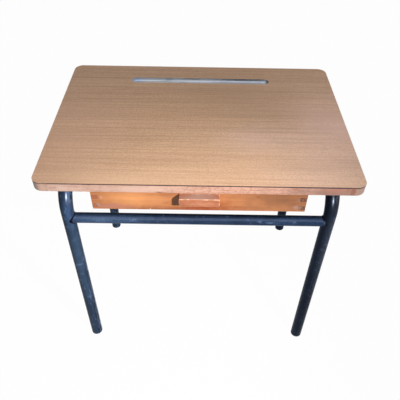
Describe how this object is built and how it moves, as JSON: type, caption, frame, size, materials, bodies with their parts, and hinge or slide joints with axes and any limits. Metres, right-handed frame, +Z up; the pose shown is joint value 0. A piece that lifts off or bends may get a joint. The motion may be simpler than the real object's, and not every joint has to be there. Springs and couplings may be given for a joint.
{
  "type": "school desk",
  "caption": "Small school desk: wood-grain top with pen groove, finger-jointed drawer with block pull, bent steel tube frame with crossbars.",
  "frame": {"origin": "on the floor, under the middle of the top", "axes": "+X to the pupil's right, +Y away from the pupil, +Z up; the drawer opens towards -Y"},
  "size_m": [0.7, 0.5, 0.62],
  "materials": {
    "woodgrain_laminate": "satin wood-grain decorative laminate",
    "core_board": "raw particle board",
    "backing_sheet": "smooth brown balancing sheet",
    "beech_lipping": "varnished solid beech, worn",
    "tray_aluminium": "dull pressed sheet",
    "painted_tube": "dark slate blue enamel, scratched",
    "painted_weld": "dark slate blue enamel over a weld bead",
    "painted_plate": "dark slate blue enamel",
    "glide_plastic": "black moulded plastic",
    "plated_screw": "dull plated steel",
    "drawer_front_wood": "varnished orange-brown wood",
    "drawer_side_wood": "varnished wood with end grain at the joints",
    "drawer_hardboard": "brown hardboard",
    "pull_wood": "varnished wood, worn pale at the edges",
    "runner_wood": "plain planed hardwood"
  },
  "bodies": {
    "desk": {"top_core": "core_board", "top_backing": "backing_sheet", "top_laminate": "woodgrain_laminate", "lipping_front": "beech_lipping", "lipping_back": "beech_lipping", "lipping_left": "beech_lipping", "lipping_right": "beech_lipping", "pen_tray": "tray_aluminium", "side_frame_left": "painted_tube", "side_frame_right": "painted_tube", "front_crossbar": "painted_tube", "rear_crossbar": "painted_tube", "weld_beads": "painted_weld", "fixing_lug_front_left": "painted_plate", "fixing_lug_front_right": "painted_plate", "fixing_lug_rear_left": "painted_plate", "fixing_lug_rear_right": "painted_plate", "foot_glide_front_left": "glide_plastic", "foot_glide_front_right": "glide_plastic", "foot_glide_rear_left": "glide_plastic", "foot_glide_rear_right": "glide_plastic", "lug_screws": "plated_screw", "runner_left": "runner_wood", "runner_right": "runner_wood", "runner_screws": "plated_screw"},
    "drawer": {"drawer_front": "drawer_front_wood", "drawer_back": "drawer_side_wood", "drawer_side_left": "drawer_side_wood", "drawer_side_right": "drawer_side_wood", "drawer_bottom": "drawer_hardboard", "drawer_bottom_nails": "plated_screw", "drawer_pull": "pull_wood", "pull_screws": "plated_screw"}
  },
  "joints": [
    {"name": "drawer_slide", "type": "slide", "parent": "desk", "child": "drawer", "axis": [0, -1, 0], "range_m": [0, 0.28]}
  ]
}
